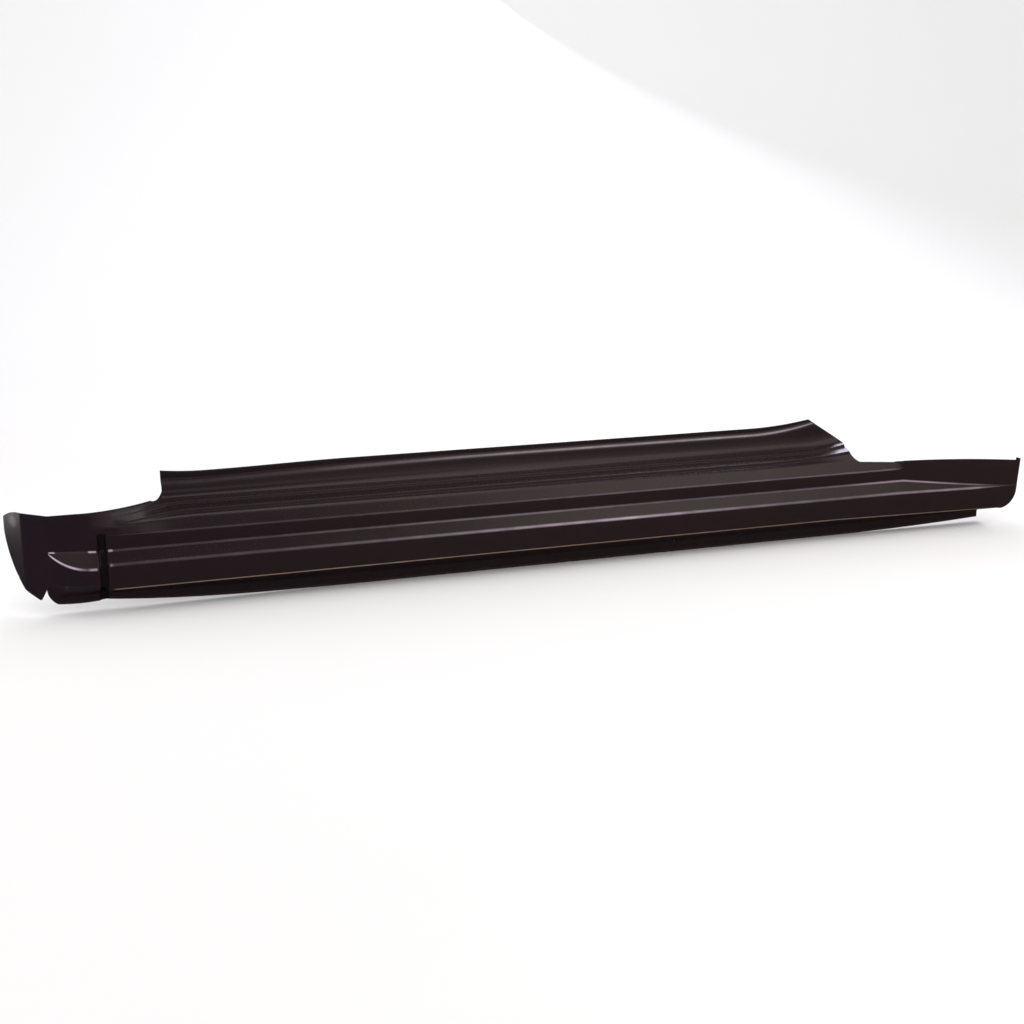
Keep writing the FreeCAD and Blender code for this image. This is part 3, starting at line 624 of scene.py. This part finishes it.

# %% [markdown]
# ## Electrocoat primer on pressed steel
# Service panels are sold in the dark primer that they get in a dip tank, where current
# draws the paint onto the steel. It is thin and even, with a soft gloss and a faint
# ripple a couple of millimetres across, called orange peel. This one is a black with a
# plum cast, browner where the coat is thin. It behaves as a plain plastic film, so it is
# not metallic, and its IOR stays at a paint's 1.5. Storage leaves fine dust on faces
# that look up and hair scratches along the length. The creases carry painted highlights.

# %% Primer: colour
primer, tree, shader = new_material("electrocoat_primer_satin")
place = add(tree, "ShaderNodeTexCoord").outputs["Object"]
geometry = add(tree, "ShaderNodeNewGeometry")
along = add(tree, "ShaderNodeSeparateXYZ", links={0: place})

clouds = add(tree, "ShaderNodeTexNoise", {"Scale": per_metre(70), "Detail": 4.0, "Roughness": 0.6},
             {"Vector": place})
coat = add(tree, "ShaderNodeMix", {"data_type": "RGBA", 6: colour("#21151a"), 7: colour("#271818")},
           {0: clouds.outputs["Fac"]})
end_tone = add(tree, "ShaderNodeMapRange", {"From Min": -0.95, "From Max": -0.35},
               {"Value": along.outputs["X"]})
plum = add(tree, "ShaderNodeMix", {"data_type": "RGBA", 6: colour("#1f121a")},
           {0: end_tone.outputs[0], 7: coat.outputs[2]})
print("colour nodes", len(tree.nodes))

# %% [markdown]
# Dust lies on faces that look up, in specks about a millimetre across. Real specks are
# finer than a pixel here, so they are drawn as coarse as they need to be to show. The
# painted highlight stored on the mesh paints the creases pale: lavender above, and golden
# low down on the sill line as a painted warm reflection. A faint pale line on every outward
# edge, which the mesh's pointiness finds, is partly wear and partly painted highlight. One
# patch of the front lip is painted paler, partly rubbed coat and partly painted highlight.
# Inside the groove the coat is painted darker, as painted shade.

# %% Primer: dust, painted highlights, edge wear and painted groove shade
specks = add(tree, "ShaderNodeTexNoise", {"Scale": per_metre(1.6), "Detail": 2.0},
             {"Vector": place})
speck_mask = add(tree, "ShaderNodeMapRange", {"From Min": 0.5, "From Max": 0.75},
                 {"Value": specks.outputs["Fac"]})
facing = add(tree, "ShaderNodeSeparateXYZ", links={0: geometry.outputs["Normal"]})
upward = add(tree, "ShaderNodeMapRange", {"From Min": 0.1, "From Max": 1.0, "To Max": 0.08},
             {"Value": facing.outputs["Z"]})
dust = add(tree, "ShaderNodeMath", {"operation": "MULTIPLY"},
           {0: speck_mask.outputs[0], 1: upward.outputs[0]})
dusty = add(tree, "ShaderNodeMix", {"data_type": "RGBA", 7: colour("#6f6660")},
            {0: dust.outputs[0], 6: plum.outputs[2]})

# Painted highlight on the creases: pale lavender above, golden low down on the sill line as a painted warm
# reflection.
highlight_noise = add(tree, "ShaderNodeTexNoise", {"Scale": per_metre(35), "Detail": 4.0}, {"Vector": place})
highlight_variation = add(tree, "ShaderNodeMapRange", {"From Min": 0.3, "From Max": 0.7, "To Min": 0.75, "To Max": 1.25},
             {"Value": highlight_noise.outputs["Fac"]})
painted_highlight = add(tree, "ShaderNodeAttribute", {"attribute_name": "painted_highlight"})
highlight_mask = add(tree, "ShaderNodeMath", {"operation": "MULTIPLY", "use_clamp": True},
              {0: painted_highlight.outputs["Fac"], 1: highlight_variation.outputs[0]})
warm_highlight_below = add(tree, "ShaderNodeMapRange", {"From Min": 0.05, "From Max": 0.045},
               {"Value": along.outputs["Z"]})
highlight_tint = add(tree, "ShaderNodeMix", {"data_type": "RGBA", 6: colour("#cdbcca"), 7: colour("#d8bd9c")},
                  {0: warm_highlight_below.outputs[0]})
with_painted_highlights = add(tree, "ShaderNodeMix", {"data_type": "RGBA"},
           {0: highlight_mask.outputs[0], 6: dusty.outputs[2], 7: highlight_tint.outputs[2]})
# Partly edge wear, partly painted highlight: outward edges are painted a faint pale grey.
edge_wear_and_highlight = add(tree, "ShaderNodeMapRange", {"From Min": 0.52, "From Max": 0.6, "To Max": 0.08},
            {"Value": geometry.outputs["Pointiness"]})
with_edge_wear_and_highlight = add(tree, "ShaderNodeMix", {"data_type": "RGBA", 7: colour("#8d8584")},
              {0: edge_wear_and_highlight.outputs[0], 6: with_painted_highlights.outputs[2]})

# Partly rubbed coat, partly painted highlight: a paler patch where the front lip curls.
LIP_WEAR_AND_HIGHLIGHT = in_frame(-42.0, 55.0, 101.0)
away = add(tree, "ShaderNodeVectorMath", {"operation": "DISTANCE", 1: LIP_WEAR_AND_HIGHLIGHT}, {0: place})
ragged = add(tree, "ShaderNodeMath", {"operation": "MULTIPLY_ADD", 1: 0.012},
             {0: specks.outputs["Fac"], 2: away.outputs["Value"]})
lip_wear_and_highlight_mask = add(tree, "ShaderNodeMapRange", {"From Min": 0.018, "From Max": 0.009, "To Max": 0.25},
            {"Value": ragged.outputs[0]})
with_lip_wear_and_highlight = add(tree, "ShaderNodeMix", {"data_type": "RGBA", 7: colour("#a39ba0")},
             {0: lip_wear_and_highlight_mask.outputs[0], 6: with_edge_wear_and_highlight.outputs[2]})

# Painted shade: the coat inside the groove, below the upper crease, is darkened towards near-black.
GROOVE, GROOVE_REACH = in_frame(GROOVE_MID_X, 0.0, CREASE_Z + 1.0), 0.0055
at_groove = add(tree, "ShaderNodeMath", {"operation": "COMPARE", 1: GROOVE[0], 2: GROOVE_REACH},
                {0: along.outputs["X"]})
below_crease = add(tree, "ShaderNodeMath", {"operation": "LESS_THAN", 1: GROOVE[2]},
                   {0: along.outputs["Z"]})
groove_shade_mask = add(tree, "ShaderNodeMath", {"operation": "MULTIPLY"},
                {0: at_groove.outputs[0], 1: below_crease.outputs[0]})
shaded = add(tree, "ShaderNodeMix", {"data_type": "RGBA", 7: colour("#100808")},
             {0: groove_shade_mask.outputs[0], 6: with_lip_wear_and_highlight.outputs[2]})
tree.links.new(shaded.outputs[2], shader.inputs["Base Color"])
print("patch at", [round(v, 3) for v in LIP_WEAR_AND_HIGHLIGHT])

# %% [markdown]
# The gloss is what shows the shape. Roughness wanders a little with handling and rises
# where dust lies. The bump has two parts: orange peel about 2 mm across and only a few
# microns high, and scratches some 60 mm long that follow the way panels are stacked.

# %% Primer: gloss and relief
handled = add(tree, "ShaderNodeTexNoise", {"Scale": per_metre(45), "Detail": 5.0, "Roughness": 0.65},
              {"Vector": place})
gloss = add(tree, "ShaderNodeMapRange", {"To Min": 0.2, "To Max": 0.3},
            {"Value": handled.outputs["Fac"]})
matt = add(tree, "ShaderNodeMath", {"operation": "MULTIPLY_ADD", 1: 0.6, "use_clamp": True},
           {0: dust.outputs[0], 2: gloss.outputs[0]})
tree.links.new(matt.outputs[0], shader.inputs["Roughness"])

peel = add(tree, "ShaderNodeTexNoise", {"Scale": per_metre(2.2), "Detail": 1.0}, {"Vector": place})
stretch = add(tree, "ShaderNodeMapping", {"Scale": (1 / 60, 1.0, 1.0)}, {"Vector": place})
hairs = add(tree, "ShaderNodeTexNoise", {"Scale": per_metre(0.9), "Detail": 2.0},
            {"Vector": stretch.outputs[0]})
hair_mask = add(tree, "ShaderNodeMapRange", {"From Min": 0.62, "From Max": 0.72},
                {"Value": hairs.outputs["Fac"]})
peel_bump = add(tree, "ShaderNodeBump", {"Strength": 0.25, "Distance": 0.00002},
                {"Height": peel.outputs["Fac"]})
hair_bump = add(tree, "ShaderNodeBump", {"Strength": 0.3, "Distance": 0.00003, "invert": True},
                {"Height": hair_mask.outputs[0], "Normal": peel_bump.outputs[0]})
tree.links.new(hair_bump.outputs[0], shader.inputs["Normal"])
shader.inputs["Metallic"].default_value = 0.0
shader.inputs["IOR"].default_value = 1.5
panel.data.materials.clear()
panel.data.materials.append(primer)
print("nodes in the primer", len(tree.nodes))

# %% [markdown]
# ## Floor and room
# The panel stands on its weld flange on a plain pale floor that curves up into a pale
# wall, as in a small studio. The paint is nearly black, so what it mirrors is what we
# see. The floor and wall are kept out of the mirror. The soft lights draw the creases,
# together with the highlights painted on them.

# %% Studio
def cyclorama():
    low = cad_box[0][2]
    profile = [(-7.0, 0.0), (2.5, 0.0)]
    turns = [math.radians(6 * k) for k in range(1, 16)]
    profile += [(2.5 + 1.5 * math.sin(t), 1.5 - 1.5 * math.cos(t)) for t in turns]
    profile += [(4.0, 7.0)]
    vertices = [(x, y, low + z) for y, z in profile for x in (-9.0, 10.0)]
    faces = [(2 * i, 2 * i + 1, 2 * i + 3, 2 * i + 2) for i in range(len(profile) - 1)]
    piece = new_piece("studio_floor", vertices, faces)
    piece.data.shade_smooth()
    return piece

floor = cyclorama()
floor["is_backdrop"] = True
floor.visible_glossy = False
paper, paper_tree, paper_shader = new_material("matt_backdrop_paper")
paper_fibre = add(paper_tree, "ShaderNodeTexNoise", {"Scale": per_metre(400), "Detail": 3.0},
                  {"Vector": add(paper_tree, "ShaderNodeTexCoord").outputs["Object"]})
paper_tone = add(paper_tree, "ShaderNodeMix",
                 {"data_type": "RGBA", 6: colour("#f4f4f4"), 7: colour("#f7f7f7")},
                 {0: paper_fibre.outputs["Fac"]})
paper_tree.links.new(paper_tone.outputs[2], paper_shader.inputs["Base Color"])
paper_shader.inputs["Roughness"].default_value = 0.9
floor.data.materials.append(paper)
print("floor at", round(cad_box[0][2], 4))

# %% [markdown]
# ## Soft light
# A face of the panel mirrors the direction that lies twice its own tilt above the line
# of sight. Upright faces look back at the dark space in front, so they stay dark. The low
# panel, the strip and the front panel stand at rising heights on the camera's side and
# draw a gradient down the door step's wall. The ledges are nearly flat, so they mirror
# the panel that stands low behind. A small card lights the front lip alone.

# %% Lights
def soft_light(name, place, target, size, brightness, tint="#ffffff"):
    light = bpy.data.lights.new(name, "AREA")
    light.shape, light.size, light.size_y = "RECTANGLE", size[0], size[1]
    light.energy = brightness * math.pi * size[0] * size[1]
    light.color = colour(tint)[:3]
    piece = bpy.data.objects.new(name, light)
    piece.location = place
    piece.rotation_euler = (Vector(target) - Vector(place)).to_track_quat("-Z", "Y").to_euler()
    bpy.context.scene.collection.objects.link(piece)
    return piece

lights = [
    soft_light("low_panel", (0.8, -3.2, 0.62), (0.0, 0.0, 0.1), (4.6, 0.7), 0.3, "#e6cfc4"),
    soft_light("crease_strip", (1.3, -3.0, 1.42), (0.0, 0.0, 0.1), (3.0, 0.5), 0.45, "#ffe8e8"),
    soft_light("front_panel", (1.0, -1.9, 2.3), (0.2, 0.0, 0.1), (4.4, 1.6), 0.55, "#e6d6cc"),
    soft_light("top_panel", (0.6, 0.3, 2.7), (0.2, 0.0, 0.1), (4.0, 1.6), 0.95, "#efe6e0"),
    soft_light("back_panel", (1.7, 3.4, 1.9), (0.2, 0.0, 0.1), (1.8, 1.5), 4.5, "#eceaff"),
    soft_light("lip_card", (-1.42, 0.26, 0.17), (-0.96, 0.03, 0.08), (0.5, 0.34), 2.4, "#f6f6f2"),
]
for light in lights:
    light.visible_camera = False
world = bpy.data.worlds.new("studio_air")
bpy.context.scene.world = world
world.use_nodes = True
world.node_tree.nodes["Background"].inputs["Color"].default_value = colour("#ffffff")
mirrored = add(world.node_tree, "ShaderNodeLightPath").outputs["Is Glossy Ray"]
air = add(world.node_tree, "ShaderNodeMath", {"operation": "MULTIPLY_ADD", 1: -0.86, 2: 0.92},
          {0: mirrored})
world.node_tree.links.new(air.outputs[0], world.node_tree.nodes["Background"].inputs["Strength"])
bpy.context.scene.view_settings.view_transform = "Standard"
print("lights", len(lights))

# %% [markdown]
# ## Camera
# The photograph was taken from just ahead of the panel's front end and a little above,
# with a normal lens, so the near end is large and the creases run away to the right.

# %% Camera
camera_data = bpy.data.cameras.new("camera")
camera_data.lens, camera_data.sensor_width = 50.98, 36.0
camera = bpy.data.objects.new("camera", camera_data)
camera.location = (-0.96975, -2.09062, 0.63778)
camera.rotation_euler = (math.radians(76), 0.0, math.radians(-19.9))
bpy.context.scene.collection.objects.link(camera)
bpy.context.scene.camera = camera
print("camera", [round(v, 3) for v in camera.location])

# %% [markdown]
# ## Sizes, then the end
# The visual panel has to fill the same box as the measured frame, so the two boxes are
# compared and the largest difference is printed at the end.

# %% Compare the boxes
visual_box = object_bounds()
gaps = [abs(a - b) for c, v in zip(cad_box, visual_box) for a, b in zip(c, v)]
print("largest difference, mm", round(1000 * max(gaps), 2))
